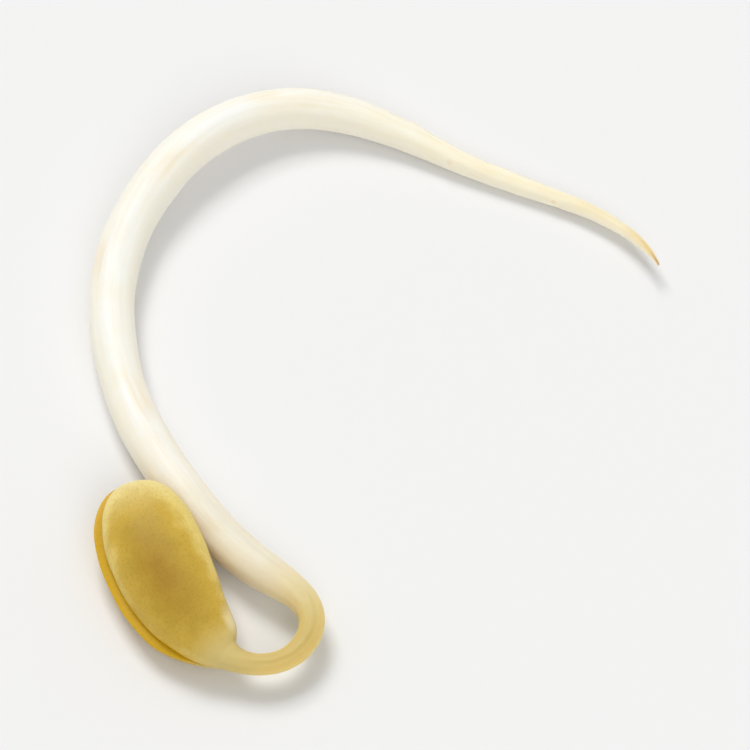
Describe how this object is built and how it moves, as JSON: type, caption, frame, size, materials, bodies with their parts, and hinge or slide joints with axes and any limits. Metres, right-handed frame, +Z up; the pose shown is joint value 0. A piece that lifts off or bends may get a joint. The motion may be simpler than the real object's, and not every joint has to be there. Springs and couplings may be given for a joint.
{
  "type": "mung bean sprout",
  "caption": "Single mung bean sprout lying on its side: a white curved stem with a tapering root and a hooked neck that carries the yellow seed leaves.",
  "frame": {"origin": "on the surface the sprout lies on, under the middle of its box", "axes": "+Z up from that surface; -Y towards the hooked neck, +Y towards the bend of the stem; the head lies to -X of the hook and the root tip is at +X"},
  "size_m": [0.0262, 0.0312, 0.0035],
  "materials": {
    "stem_tissue": "satin",
    "seed_leaf_tissue": "satin"
  },
  "bodies": {
    "root": {"stem_with_root": "stem_tissue", "seed_leaf_upper": "seed_leaf_tissue", "seed_leaf_lower": "seed_leaf_tissue"}
  },
  "joints": []
}
